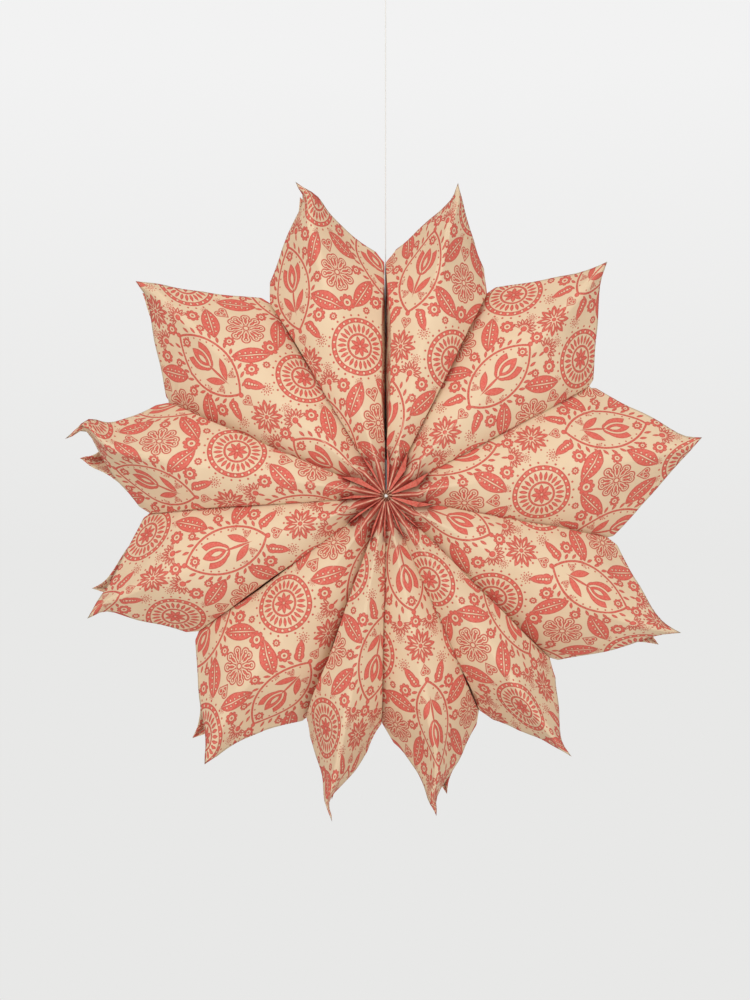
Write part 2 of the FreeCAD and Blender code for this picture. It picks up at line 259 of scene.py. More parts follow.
class OpenedBag:
    """One opened bag in its own frame: x out along its middle, y across it, z to the front."""

    def __init__(self, number):
        self.number = number
        self.spread = SPREADS[number - 1]
        self.middle_angle = SEAM_ANGLE + sum(SPREADS[:number - 1]) + self.spread / 2.0
        self.half_spread = math.radians(self.spread / 2.0)
        self.ridge = math.radians(RIDGES[number - 1])
        self.flap_opening = FLAP_OPENINGS[number - 1]
        self.tip_length = TIP_LENGTH + TIP_CHANGES[number - 1]
        self.notch_reach = {side: self.notch_on(side) for side in (-1, 1)}
        self.at_seam = {1: -1, 12: 1}.get(number, 0)
        self.known_quarters = {}
        _, reach = self.centre_and_reach(NOTCH_LENGTH * math.cos(self.half_spread))
        self.tent_slope = math.acos(min(reach / HALF_WIDTH, STEEPEST_TENT))

    def notch_on(self, side):
        """How far out the notch beside the bag lies, along the bag's middle."""
        change = NOTCH_CHANGES[self.number - 1 if side > 0 else self.number - 2]
        return (NOTCH_LENGTH + change) * math.cos(self.half_spread)

    def flap_width(self, x):
        """The room across that the bottom flap takes beside the bag."""
        glued = min(max(1.0 - (x - FLAP_LENGTH) / GLUE_STRIP_LENGTH, 0.0), 1.0)
        return self.flap_opening * min(x / FLAP_LENGTH, 1.0) * glued

    def lean(self, x, side):
        """How far the wall leans in over its first stretch, as a width and an angle."""
        if side != self.at_seam:
            return 0.0, 0.0
        width = SEAM_LEAN_WIDTH * blend(x, FLAP_LENGTH + GLUE_STRIP_LENGTH, HUB_BLEND_LENGTH)
        width *= 1.0 - blend(x, LAST_STRAIGHT_ROW, self.notch_reach[side])
        return width, math.asin(width / SEAM_LEAN_DEPTH)

    def centre_and_reach(self, x):
        """The middle of the section across the bag, and its half width."""
        seam = SEAM_GAP / 2.0 / math.cos(self.half_spread)
        low = -x * math.tan(self.half_spread)
        high = -low - self.flap_width(x)
        if self.at_seam < 0:
            low += seam
        if self.at_seam > 0:
            high -= seam
        return (low + high) / 2.0, (high - low) / 2.0

    def slopes(self, x, side):
        """Slopes of the crown at the side fold and at its edge: a vault that ends in a tent."""
        fold = self.ridge
        edge = math.radians(CROWN_EDGE_ANGLE)
        if side == self.at_seam:
            fold = math.radians(SEAM_FOLD_ANGLE)
            edge = math.radians(SEAM_EDGE_ANGLE)
        fold = mix(math.radians(HUB_FOLD_ANGLE), fold, blend(x, FLAP_LENGTH, HUB_BLEND_LENGTH))
        tent = blend(x, TENT_START, TENT_END)
        horn = math.radians(HORN_ANGLE) * blend(x, HORN_START, self.tip_length)
        fold = mix(fold, self.tent_slope, tent) + horn
        edge = mix(max(edge, fold), self.tent_slope + horn, tent)
        return fold, edge

    def quarter(self, x, side):
        """The crown's slopes and length, and the bend's radius, on one side of the section at x."""
        key = (round(x, 3), side)
        if key not in self.known_quarters:
            inside = min(x, self.notch_reach[side])
            _, reach = self.centre_and_reach(inside)
            fold, edge = self.slopes(inside, side)
            bend = (SEAM_BEND_SHARE if side == self.at_seam else BEND_SHARE) * reach
            bend *= mix(1.0, MOUTH_BEND_SHARE, blend(inside, HUB_BLEND_LENGTH, self.notch_reach[side]))
            lean_width, lean_angle = self.lean(inside, side)
            steep = math.pi / 2.0 - lean_angle
            ease = self.ease_to_fit(reach - lean_width, fold, edge, bend, steep)
            fold, edge = fold * ease, edge * ease
            across, _ = arc_run(fold, edge, 1.0)
            bend_across, _ = arc_run(edge, steep, bend * (steep - edge))
            crown = (reach - lean_width - bend_across) / across
            if x > inside:
                fold, edge = self.slopes(x, side)
            self.known_quarters[key] = (fold, edge, crown, bend, steep)
        return self.known_quarters[key]

    def ease_to_fit(self, reach, fold, edge, bend, steep):
        """Flatter slopes, as a share, where a wide bag has too little paper to stand up."""
        paper = HALF_WIDTH * (1.0 - LEAST_WALL_SHARE)

        def width_at(ease):
            bent = bend * (steep - edge * ease)
            crown_across, _ = arc_run(fold * ease, edge * ease, paper - bent)
            bend_across, _ = arc_run(edge * ease, steep, bent)
            return crown_across + bend_across

        if width_at(1.0) >= reach:
            return 1.0
        low, high = 0.0, 1.0
        for _ in range(20):
            middle = (low + high) / 2.0
            if width_at(middle) >= reach:
                low = middle
            else:
                high = middle
        return low

    def paper_ends(self, x, side):
        """Where each strip ends across the paper, from the side fold to the glue line."""
        _, edge, crown, bend, steep = self.quarter(x, side)
        bent = bend * max(steep - edge, 0.0)
        ends = [crown * step / CROWN_STRIPS for step in range(CROWN_STRIPS + 1)]
        ends += [crown + bent * step / BEND_STRIPS for step in range(1, BEND_STRIPS + 1)]
        last = ends[-1]
        whole = max(HALF_WIDTH, last)
        ends.append(min(last + SEAM_LEAN_DEPTH, mix(last, whole, MOST_LEANING)))
        last = ends[-1]
        ends += [mix(last, whole, step / (WALL_STRIPS - 1)) for step in range(1, WALL_STRIPS)]
        return ends

    def across_and_down(self, x, side, end):
        """Where the paper lies at a distance from the side fold: crown, bend, then flat wall."""
        fold, edge, crown, bend, steep = self.quarter(x, side)
        if end <= crown:
            return arc_run(fold, mix(fold, edge, end / crown), end)
        across, down = arc_run(fold, edge, crown)
        bent = min(end - crown, bend * max(steep - edge, 0.0))
        slope = edge + bent / bend
        over, under = arc_run(edge, slope, bent)
        across, down = across + over, down + under
        wall = end - crown - bent
        leaning = wall
        if side == self.at_seam and x <= self.notch_reach[side]:
            leaning = min(wall, SEAM_LEAN_DEPTH)
        across, down = across + leaning * math.cos(slope), down + leaning * math.sin(slope)
        return across, down + wall - leaning

    def fold_height(self, x):
        """The side fold's height above the middle of the star. Past the notch it runs straight."""
        side = -self.at_seam or 1
        inside = min(x, self.notch_reach[side])
        height = self.depth(inside, side)
        slope = (height - HALF_WIDTH) / self.notch_reach[side]
        return height + slope * (x - inside)

    def depth(self, x, side):
        """How far down the paper reaches on one side of the section at x."""
        _, down = self.across_and_down(x, side, self.paper_ends(x, side)[-1])
        return down

    def stretch(self, x, side):
        """What brings both sides of the section to the same glue line, half way down."""
        inside = min(x, self.notch_reach[side])
        return self.fold_height(inside) / self.depth(inside, side)

    def mouth_reach(self, side, strip):
        """How far out the mouth lies at the end of a strip: the paper is cut straight to the notch."""
        notch = self.notch_reach[side]
        reach = notch
        for _ in range(12):
            share = min(self.paper_ends(reach, side)[strip] / HALF_WIDTH, 1.0)
            reach = self.tip_length - (self.tip_length - notch) * share
        return reach

    def paper_point(self, x, side, front, strip):
        """A point of the paper's outer face, and its distance from the side fold along the paper."""
        ends = self.paper_ends(x, side)
        across, down = self.across_and_down(x, side, ends[strip])
        height = self.fold_height(x)
        centre, reach = self.centre_and_reach(x)
        curl = (FRONT_CURLS if front > 0 else BACK_CURLS)[self.number - 1]
        sway = (FRONT_SWAYS if front > 0 else BACK_SWAYS)[self.number - 1]
        out = max((x - CURL_START) / (self.tip_length - CURL_START), 0.0)
        curl = curl * out ** 2 + sway * math.sin(math.pi * min(out, 1.0) ** 3) ** 2
        y = centre + side * across + curl
        return (x, y, front * (height - down * self.stretch(x, side))), ends[strip]

    def placed(self, point):
        """A point of the bag's own frame, in metres, where it is in the star."""
        x, y, z = point
        angle = math.radians(self.middle_angle)
        return ((x * math.cos(angle) - y * math.sin(angle)) * MM, -z * MM,
                (x * math.sin(angle) + y * math.cos(angle)) * MM - HANG_DROP)


def strip_rows(bag, side):
    """How far out each row of corners lies, for the end of each strip of a quarter section."""
    strips = CROWN_STRIPS + BEND_STRIPS + WALL_STRIPS
    mouth = [bag.mouth_reach(side, strip) for strip in range(strips + 1)]
    rows = []
    for row in range(STRAIGHT_ROWS + 1):
        share = row / STRAIGHT_ROWS
        reach = mix(HUB_RADIUS, LAST_STRAIGHT_ROW, mix(share * share, share, 0.45))
        rows.append([reach] * (strips + 1))
    for row in range(1, MOUTH_ROWS + 1):
        rows.append([mix(LAST_STRAIGHT_ROW, reach, row / MOUTH_ROWS) for reach in mouth])
    return rows


def bag_mesh(bag):
    """The paper's outer face, from the closed bottom at the hub to the open mouth."""
    strips = CROWN_STRIPS + BEND_STRIPS + WALL_STRIPS
    rows_of = {side: strip_rows(bag, side) for side in (-1, 1)}
    # Once round the paper: from the back fold over the front fold and on to the back fold
    round_paper = [(-1, -1, strip) for strip in range(strips)]
    round_paper += [(-1, 1, strip) for strip in range(strips, 0, -1)]
    round_paper += [(1, 1, strip) for strip in range(strips)]
    round_paper += [(1, -1, strip) for strip in range(strips, -1, -1)]
    count = len(round_paper) - 1
    points, prints, freedom, out_from_hub, from_fold = [], [], [], [], []
    row_count = STRAIGHT_ROWS + MOUTH_ROWS + 1
    for row in range(row_count):
        for column, (side, front, strip) in enumerate(round_paper):
            x = rows_of[side][row][strip]
            point, end = bag.paper_point(x, side, front, strip)
            along = x * mix(1.0, 1.0 / math.cos(bag.half_spread), min(end / HALF_WIDTH, 1.0))
            around = side * (end if front > 0 else 2.0 * HALF_WIDTH - end)
            prints.append((along, around))
            if column < count:
                points.append(bag.placed(point))
                loose = math.sin(math.pi * min(end / HALF_WIDTH, 1.0) ** 0.8)
                freedom.append(loose * blend(x, FLAP_LENGTH, NOTCH_LENGTH))
                out_from_hub.append(along)
                from_fold.append(end)
    faces, corners = [], []

    def corner(row, column):
        return row * count + column % count

    def print_corner(row, column):
        return prints[row * (count + 1) + column]

    for row in range(row_count - 1):
        for column in range(count):
            steps = ((row, column), (row, column + 1), (row + 1, column + 1), (row + 1, column))
            faces.append([corner(*step) for step in steps])
            corners += [print_corner(*step) for step in steps]
    # The closed bottom, across from one side of the paper to the other
    for step in range(count // 2):
        left, next_left = (-step) % count, (-step - 1) % count
        bottom = [left, next_left, step + 1, step]
        if len(set(bottom)) == 4:
            faces.append(bottom)
            corners += [prints[place] for place in bottom]
        elif len(set(bottom)) == 3:
            bottom = list(dict.fromkeys(bottom))
            faces.append(bottom)
            corners += [prints[place] for place in bottom]
    return paper_mesh(bag, points, faces, corners, freedom, out_from_hub, from_fold)


def paper_mesh(bag, points, faces, corners, freedom, out_from_hub, from_fold):
    """A mesh of the paper's outer face, with its print coordinates and what else its finish needs."""
    mesh = bpy.data.meshes.new("paper_bag_%02d" % bag.number)
    mesh.from_pydata(points, [], faces)
    layer = mesh.uv_layers.new(name="print")
    start_along, start_around = PRINT_STARTS[bag.number - 1]
    for place, (along, around) in enumerate(corners):
        layer.data[place].uv = (around + start_around, along + start_along)
    for name, values in (("freedom", freedom), ("out_from_hub", out_from_hub), ("from_fold", from_fold)):
        attribute = mesh.attributes.new(name, "FLOAT", "POINT")
        attribute.data.foreach_set("value", values)
    for polygon in mesh.polygons:
        polygon.use_smooth = True
    mesh.update()
    return mesh


def flap_mesh(bag):
    """The bottom flap: the flattened end of the bag, folded over against its side and sprung open."""
    tangent = math.tan(bag.half_spread)
    seam = SEAM_GAP / 2.0 / math.cos(bag.half_spread) if bag.at_seam > 0 else 0.0
    points, faces, corners, out_from_hub, from_fold = [], [], [], [], []
    prints = []
    # Out along the flap, down its free end to the glue past it, and out to where the glue ends
    rows = [(mix(HUB_RADIUS, FLAP_LENGTH, row / FLAP_ROWS), 0.0) for row in range(FLAP_ROWS + 1)]
    rows += [(FLAP_LENGTH, GLUE_STRIP_RECESS), (FLAP_LENGTH + GLUE_STRIP_LENGTH - 0.1, GLUE_STRIP_RECESS)]
    for x, recess in rows:
        depth = HALF_WIDTH - PAPER - recess
        high = x * tangent - seam
        low = high - bag.flap_width(x)
        # Once round: across the front fold, down the far side, across the back fold and up again
        ring = [(low, depth), (high, depth), (high, -depth), (low, -depth)]
        around = [0.0, high - low, high - low + 2.0 * depth, 2.0 * (high - low) + 2.0 * depth,
                  2.0 * (high - low) + 4.0 * depth]
        for (y, z) in ring:
            points.append(bag.placed((x, y, z)))
            out_from_hub.append(FLAP_LENGTH - 0.4 * x)
            from_fold.append(0.9)
        prints.append([(-x, distance) for distance in around])
    for row in range(len(rows) - 1):
        for side in range(4):
            steps = ((row, side), (row + 1, side), (row + 1, side + 1), (row, side + 1))
            faces.append([r * 4 + s % 4 for r, s in steps])
            corners += [prints[r][s] for r, s in steps]
    freedom = [0.0] * len(points)
    mesh = paper_mesh(bag, points, faces, corners, freedom, out_from_hub, from_fold)
    for polygon in mesh.polygons:
        polygon.use_smooth = False
    return mesh


# Colours, as they look in the photograph
def folded_bottom(bag):
    """The bag's bottom fold, pinched to a ridge where all the bags meet round the thread."""
    tangent = math.tan(bag.half_spread)
    points, faces, corners, out_from_hub, from_fold = [], [], [], [], []
    for x in (THREAD_ROOM, HUB_RADIUS + 0.1):
        half = x * tangent
        ridge = HALF_WIDTH - RIDGE_DEPTH
        valley = HALF_WIDTH - VALLEY_DEPTH
        for y, z in ((-half, valley), (0.0, ridge), (half, valley),
                     (half, -valley), (0.0, -ridge), (-half, -valley)):
            points.append(bag.placed((x, y, z)))
            out_from_hub.append(x)
            from_fold.append(0.0 if y == 0.0 else 0.9)
    for side in range(6):
        faces.append([side, side + 6, (side + 1) % 6 + 6, (side + 1) % 6])
    faces.append([0, 1, 2, 3, 4, 5])
    faces.append([11, 10, 9, 8, 7, 6])
    for face in faces:
        corners += [(out_from_hub[corner], from_fold[corner]) for corner in face]
    mesh = paper_mesh(bag, points, faces, corners, [0.0] * len(points), out_from_hub, from_fold)
    for polygon in mesh.polygons:
        polygon.use_smooth = False
    mesh.materials.append(PRINTED)
    mesh.materials.append(INSIDE)
    fold = bpy.data.objects.new("bottom_fold_%02d" % bag.number, mesh)
    bpy.context.scene.collection.objects.link(fold)
    return fold


def linear(code):
    """An sRGB hex colour as the linear one that the shaders take."""
    channels = [int(code[place:place + 2], 16) / 255.0 for place in (0, 2, 4)]
    curved = [c / 12.92 if c <= 0.04045 else ((c + 0.055) / 1.055) ** 2.4 for c in channels]
    return (*curved, 1.0)


KRAFT = "E7CFAF"
KRAFT_SHADED = "DEC3A1"
INSIDE_KRAFT = "DDC7A8"
INK = "D95A50"
INK_DEEP = "C0423A"
# A darker red, painted round the hub as shade
INK_IN_HUB_SHADE = "AE3B2C"
COTTON = "E4E2DE"
COTTON_SHADED = "CFCCC6"
BACKGROUND_HIGH = "F2F2F2"
BACKGROUND_LOW = "E8E8E7"

MATH = "ShaderNodeMath"
VECTOR_MATH = "ShaderNodeVectorMath"


def add(tree, kind, inputs=(), **settings):
    """Add a node, set it up, link or fill its inputs, and return its first output in use."""
    node = tree.nodes.new(kind)
    for name, value in settings.items():
        setattr(node, name, value)
    in_use = [socket for socket in node.inputs if socket.enabled]
    if isinstance(inputs, dict):
        pairs = [(next(socket for socket in in_use if socket.name == name), value)
                 for name, value in inputs.items()]
    else:
        pairs = list(zip(in_use, inputs))
    for socket, value in pairs:
        if isinstance(value, bpy.types.NodeSocket):
            tree.links.new(value, socket)
        elif value is not None:
            socket.default_value = value
    return next((socket for socket in node.outputs if socket.enabled), node)


# Shapes of the print. Each gives how deep a place lies inside the shape, negative outside it.
def disc(tree, place, centre, radius):
    away = add(tree, VECTOR_MATH, (place, (*centre, 0.0)), operation="DISTANCE")
    return add(tree, MATH, (radius, away), operation="SUBTRACT")


def pointed_oval(tree, place, centre, length, width, turn=0.0):
    """A leaf shape of two arcs. length and width are halves."""
    local = add(tree, "ShaderNodeMapping", (place, (*centre, 0.0), (0.0, 0.0, math.radians(turn))),
                vector_type="TEXTURE")
    x = add(tree, "ShaderNodeSeparateXYZ", (local,))
    side = add(tree, MATH, (x.node.outputs["Y"],), operation="ABSOLUTE")
    radius = (length * length + width * width) / (2.0 * width)
    lifted = add(tree, MATH, (side, radius - width), operation="ADD")
    corner = add(tree, "ShaderNodeCombineXYZ", (x, lifted))
    away = add(tree, VECTOR_MATH, (corner,), operation="LENGTH")
    return add(tree, MATH, (radius, away), operation="SUBTRACT")


def band_at(tree, depth, middle, half_width):
    """A line that follows a shape's edge, at a depth inside it."""
    off = add(tree, MATH, (depth, middle), operation="SUBTRACT")
    off = add(tree, MATH, (off,), operation="ABSOLUTE")
    return add(tree, MATH, (half_width, off), operation="SUBTRACT")


def join(tree, *depths):
    """All the shapes together."""
    whole = depths[0]
    for depth in depths[1:]:
        whole = add(tree, MATH, (whole, depth), operation="MAXIMUM")
    return whole


def cut(tree, depth, *holes):
    """A shape less others."""
    for hole in holes:
        outside = add(tree, MATH, (hole, -1.0), operation="MULTIPLY")
        depth = add(tree, MATH, (depth, outside), operation="MINIMUM")
    return depth


def round_again(tree, place, count, turn=0.0):
    """The place as seen in one of so many equal sectors: x along its middle, y to either side."""
    x = add(tree, "ShaderNodeSeparateXYZ", (place,))
    angle = add(tree, MATH, (x.node.outputs["Y"], x), operation="ARCTAN2")
    angle = add(tree, MATH, (angle, math.radians(turn)), operation="ADD")
    angle = add(tree, MATH, (angle, math.pi / count), operation="PINGPONG")
    radius = add(tree, VECTOR_MATH, (place,), operation="LENGTH")
    along = add(tree, MATH, (angle,), operation="COSINE")
    aside = add(tree, MATH, (angle,), operation="SINE")
    direction = add(tree, "ShaderNodeCombineXYZ", (along, aside))
    return add(tree, VECTOR_MATH, {"Vector": direction, "Scale": radius}, operation="SCALE")


def mirrored(tree, place):
    """The place with its left half laid over its right half."""
    x = add(tree, "ShaderNodeSeparateXYZ", (place,))
    side = add(tree, MATH, (x,), operation="ABSOLUTE")
    return add(tree, "ShaderNodeCombineXYZ", (side, x.node.outputs["Y"]))


def rosette(tree, place):
    """A small scalloped flower with a pale ring and a seed in it."""
    sector = round_again(tree, place, 8)
    petals = join(tree, disc(tree, place, (0.0, 0.0), 0.74), disc(tree, sector, (0.7, 0.0), 0.29))
    middle = disc(tree, place, (0.0, 0.0), 0.42)
    seed = disc(tree, place, (0.0, 0.0), 0.2)
    return join(tree, cut(tree, petals, middle), seed)


def daisy(tree, place):
    """A flower of nine broad petals, each with a pale loop and a dot, round a ringed middle."""
    sector = round_again(tree, place, 9)
    petal = join(tree, disc(tree, sector, (0.74, 0.0), 0.24),
                 pointed_oval(tree, sector, (0.5, 0.0), 0.4, 0.2))
    loop_in_it = band_at(tree, petal, 0.1, 0.03)
    dot = disc(tree, sector, (0.76, 0.0), 0.05)
    middle = disc(tree, place, (0.0, 0.0), 0.2)
    ring = band_at(tree, middle, 0.06, 0.035)
    return join(tree, cut(tree, petal, loop_in_it, dot, middle), ring)


def starflower(tree, place):
    """A flower of eight long pointed petals with small ones between them and a pale middle."""
    sector = round_again(tree, place, 8)
    between = round_again(tree, place, 8, 180.0 / 8.0)
    petals = pointed_oval(tree, sector, (0.58, 0.0), 0.42, 0.17)
    vein = pointed_oval(tree, sector, (0.5, 0.0), 0.22, 0.045)
    small = pointed_oval(tree, between, (0.62, 0.0), 0.2, 0.07)
    tips = disc(tree, between, (0.92, 0.0), 0.06)
    seed = disc(tree, place, (0.0, 0.0), 0.13)
    return join(tree, cut(tree, petals, vein), small, tips, seed)


def medallion(tree, place):
    """A big round ornament: a flower in a ring, fine rays, a broad band with pale beads, then dots."""
    rays_at = round_again(tree, place, 24)
    between = round_again(tree, place, 24, 180.0 / 24.0)
    inner = round_again(tree, place, 8)
    petals = pointed_oval(tree, inner, (0.17, 0.0), 0.15, 0.065)
    ring = band_at(tree, disc(tree, place, (0.0, 0.0), 0.41), 0.04, 0.035)
    rays = pointed_oval(tree, rays_at, (0.56, 0.0), 0.14, 0.05)
    band = band_at(tree, disc(tree, place, (0.0, 0.0), 0.88), 0.075, 0.075)
    beads = disc(tree, between, (0.8, 0.0), 0.034)
    dots = disc(tree, rays_at, (0.965, 0.0), 0.033)
    return join(tree, petals, ring, rays, cut(tree, band, beads), dots)


def big_leaf(tree, place):
    """A broad leaf with a pale midrib and a row of pale dots to either side of it."""
    whole = pointed_oval(tree, place, (0.0, 0.0), 1.0, 0.45)
    midrib = pointed_oval(tree, place, (-0.1, 0.0), 0.85, 0.03)
    x = add(tree, "ShaderNodeSeparateXYZ", (place,))
    side = add(tree, MATH, (x.node.outputs["Y"],), operation="ABSOLUTE")
    step = add(tree, MATH, (x, 0.14), operation="PINGPONG")
    step = add(tree, "ShaderNodeCombineXYZ", (step, side))
    dots = disc(tree, step, (0.0, 0.15), 0.045)
    inner = add(tree, MATH, (whole, 0.1), operation="SUBTRACT")
    dots = add(tree, MATH, (dots, inner), operation="MINIMUM")
    return cut(tree, whole, midrib, dots)


def palmette(tree, place):
    """A fan of nine petals on a half-round foot, with a pale slit in each petal."""
    sector = round_again(tree, place, 16)
    petals = pointed_oval(tree, sector, (0.64, 0.0), 0.34, 0.13)
    slits = pointed_oval(tree, sector, (0.66, 0.0), 0.16, 0.04)
    up = add(tree, "ShaderNodeSeparateXYZ", (place,)).node.outputs["Y"]
    above = add(tree, MATH, (up, 0.12), operation="ADD")
    petals = add(tree, MATH, (cut(tree, petals, slits), above), operation="MINIMUM")
    foot = disc(tree, place, (0.0, 0.0), 0.24)
    stalk = pointed_oval(tree, place, (0.0, -0.45), 0.3, 0.1, 90.0)
    return join(tree, petals, foot, stalk)


def tulip(tree, place):
    """A tulip with three petals on a short stem with two leaves."""
    half = mirrored(tree, place)
    side = pointed_oval(tree, half, (0.25, 0.36), 0.46, 0.2, 70.0)
    middle = pointed_oval(tree, half, (0.0, 0.42), 0.44, 0.2, 90.0)
    gap = band_at(tree, middle, -0.03, 0.03)
    cup = disc(tree, half, (0.0, 0.14), 0.28)
    drop = pointed_oval(tree, half, (0.0, 0.34), 0.2, 0.07, 90.0)
    stem = pointed_oval(tree, half, (0.0, -0.42), 0.52, 0.045, 90.0)
    leaf = pointed_oval(tree, half, (0.27, -0.5), 0.4, 0.13, 55.0)
    flower = cut(tree, join(tree, side, cup), gap)
    return join(tree, cut(tree, join(tree, flower, cut(tree, middle, gap)), drop), stem, leaf)


def heart(tree, place):
    """A solid heart with a pale line inside its edge."""
    half = mirrored(tree, place)
    lobe = disc(tree, half, (0.36, 0.22), 0.42)
    x = add(tree, "ShaderNodeSeparateXYZ", (half,))
    up = x.node.outputs["Y"]
    slant = add(tree, VECTOR_MATH, (half, (0.78, -0.625, 0.0)), operation="DOT_PRODUCT")
    slant = slant.node.outputs["Value"]
    wedge = add(tree, MATH, (0.563, slant), operation="SUBTRACT")
    top = add(tree, MATH, (0.04, up), operation="SUBTRACT")
    whole = join(tree, lobe, add(tree, MATH, (wedge, top), operation="MINIMUM"))
    return cut(tree, whole, band_at(tree, whole, 0.17, 0.045))


def teardrop(tree, place):
    """A drop with a row of pale dots down its middle."""
    body = disc(tree, place, (-0.4, 0.0), 0.44)
    tail = pointed_oval(tree, place, (0.05, 0.0), 0.95, 0.38)
    dots = [disc(tree, place, (along, 0.0), radius)
            for along, radius in ((-0.62, 0.08), (-0.36, 0.1), (-0.1, 0.09), (0.13, 0.07), (0.33, 0.05))]
    return cut(tree, join(tree, body, tail), *dots)


def sprig(tree, place):
    """A thin stem with pairs of small leaves and a berry at its end."""
    stem = pointed_oval(tree, place, (0.0, 0.0), 0.95, 0.04)
    x = add(tree, "ShaderNodeSeparateXYZ", (place,))
    side = add(tree, MATH, (x.node.outputs["Y"],), operation="ABSOLUTE")
    slanted = add(tree, MATH, (side, -0.9, x), operation="MULTIPLY_ADD")
    step = add(tree, MATH, (slanted, 0.16), operation="PINGPONG")
    near = add(tree, MATH, (side, 0.2), operation="SUBTRACT")
    leaf = add(tree, "ShaderNodeCombineXYZ", (step, near))
    leaves = pointed_oval(tree, leaf, (0.0, 0.0), 0.18, 0.085, 90.0)
    inner = add(tree, MATH, (x,), operation="ABSOLUTE")
    ends = add(tree, MATH, (0.76, inner), operation="SUBTRACT")
    leaves = add(tree, MATH, (leaves, ends), operation="MINIMUM")
    berry = disc(tree, place, (0.92, 0.0), 0.14)
    return join(tree, stem, leaves, berry)


def burst(tree, place):
    """A ring of dots round short rays."""
    sector = round_again(tree, place, 10)
    between = round_again(tree, place, 10, 180.0 / 10.0)
    rays = pointed_oval(tree, sector, (0.46, 0.0), 0.24, 0.08)
    dots = disc(tree, between, (0.86, 0.0), 0.1)
    seed = disc(tree, place, (0.0, 0.0), 0.12)
    return join(tree, rays, dots, seed)


def wreath(tree, place):
    """A pointed oval outline, upright, with leaves along its outside and dots along its inside."""
    half_width = 0.56
    radius = (1.0 + half_width * half_width) / (2.0 * half_width)
    line = band_at(tree, pointed_oval(tree, place, (0.0, 0.0), 1.0, half_width, 90.0), 0.03, 0.026)
    # Along either side the outline is an arc, so leaves and dots are laid out round its centre
    x = add(tree, "ShaderNodeSeparateXYZ", (mirrored(tree, place),))
    aside = add(tree, MATH, (x, radius - half_width), operation="ADD")
    turn = add(tree, MATH, (x.node.outputs["Y"], aside), operation="ARCTAN2")
    from_centre = add(tree, "ShaderNodeCombineXYZ", (aside, x.node.outputs["Y"]))
    out = add(tree, VECTOR_MATH, (from_centre,), operation="LENGTH").node.outputs["Value"]
    out = add(tree, MATH, (out, radius), operation="SUBTRACT")
    pitch = math.radians(4.6)
    step = add(tree, MATH, (turn, pitch, -pitch), operation="WRAP")
    step = add(tree, MATH, (step, radius), operation="MULTIPLY")
    beside = add(tree, "ShaderNodeCombineXYZ", (step, out))
    leaves = pointed_oval(tree, beside, (0.0, 0.085), 0.085, 0.034, 50.0)
    dots = disc(tree, beside, (0.0, -0.1), 0.022)
    far = add(tree, MATH, (turn,), operation="ABSOLUTE")
    ends = add(tree, MATH, (math.radians(50.0), far), operation="SUBTRACT")
    row = add(tree, MATH, (join(tree, leaves, dots), ends), operation="MINIMUM")
    tip = add(tree, MATH, (x.node.outputs["Y"],), operation="ABSOLUTE")
    tip = add(tree, "ShaderNodeCombineXYZ", (x, tip))
    knobs = disc(tree, tip, (0.0, 1.0), 0.06)
    return join(tree, line, row, knobs)


def motif_group(draw):
    """A motif as a node group: a place and a size in millimetres go in, a depth in millimetres out."""
    group = bpy.data.node_groups.new("printed_" + draw.__name__, "ShaderNodeTree")
    group.interface.new_socket("Place", in_out="INPUT", socket_type="NodeSocketVector")
    group.interface.new_socket("Size", in_out="INPUT", socket_type="NodeSocketFloat")
    group.interface.new_socket("Depth", in_out="OUTPUT", socket_type="NodeSocketFloat")
    given = group.nodes.new("NodeGroupInput")
    share = add(group, MATH, (1.0, given.outputs["Size"]), operation="DIVIDE")
    place = add(group, VECTOR_MATH, {"Vector": given.outputs["Place"], "Scale": share}, operation="SCALE")
    depth = add(group, MATH, (draw(group, place), given.outputs["Size"]), operation="MULTIPLY")
    add(group, "NodeGroupOutput", (depth,))
    return group


# The border of leaves along the bag's bottom, in millimetres
LEAF_PITCH = 6.0
LEAF_MIDDLE = 12.5
LEAF_HALF_LENGTH = 11.5
LEAF_HALF_WIDTH = 3.2

# The print's repeat in millimetres: mirrored at both sides of this width, and plainly repeated along
# the bag. Each motif has its place, its turn in degrees and its radius.
REPEAT_ACROSS = 36.0
REPEAT_ALONG = 92.0
LAYOUT = [
    (medallion, (0.0, 0.0), 0.0, 20.0),
    (daisy, (0.0, 46.0), 0.0, 12.0),
    (starflower, (36.0, 0.0), 0.0, 10.6),
    (wreath, (36.0, 46.0), 0.0, 26.0),
    (tulip, (36.0, 46.0), 0.0, 17.0),
    (rosette, (36.0, 65.4), 0.0, 3.2),
    (heart, (30.4, 31.6), 0.0, 3.0),
    (big_leaf, (12.8, 31.0), 38.0, 11.6),
    (big_leaf, (12.2, 62.4), -52.0, 11.8),
    (teardrop, (26.0, 17.6), -118.0, 7.4),
    (palmette, (25.6, 77.2), 8.0, 7.8),
    (rosette, (14.9, 46.0), 0.0, 3.4),
    (rosette, (0.0, 27.2), 0.0, 5.4),
    (rosette, (16.6, 72.6), 0.0, 4.4),
    (rosette, (19.6, 24.6), 0.0, 4.4),
    (rosette, (36.0, 77.4), 0.0, 4.0),
    (rosette, (20.6, 63.4), 0.0, 2.7),
    (rosette, (11.2, 20.6), 0.0, 2.4),
    (heart, (0.0, 63.4), 0.0, 5.6),
    (heart, (36.0, 14.6), 0.0, 4.4),
    (burst, (22.6, 9.8), 0.0, 4.2),
    (burst, (23.6, 85.6), 0.0, 3.4),
    (burst, (6.8, 71.4), 0.0, 2.6),
    (sprig, (24.2, 37.4), 60.0, 3.2),
]


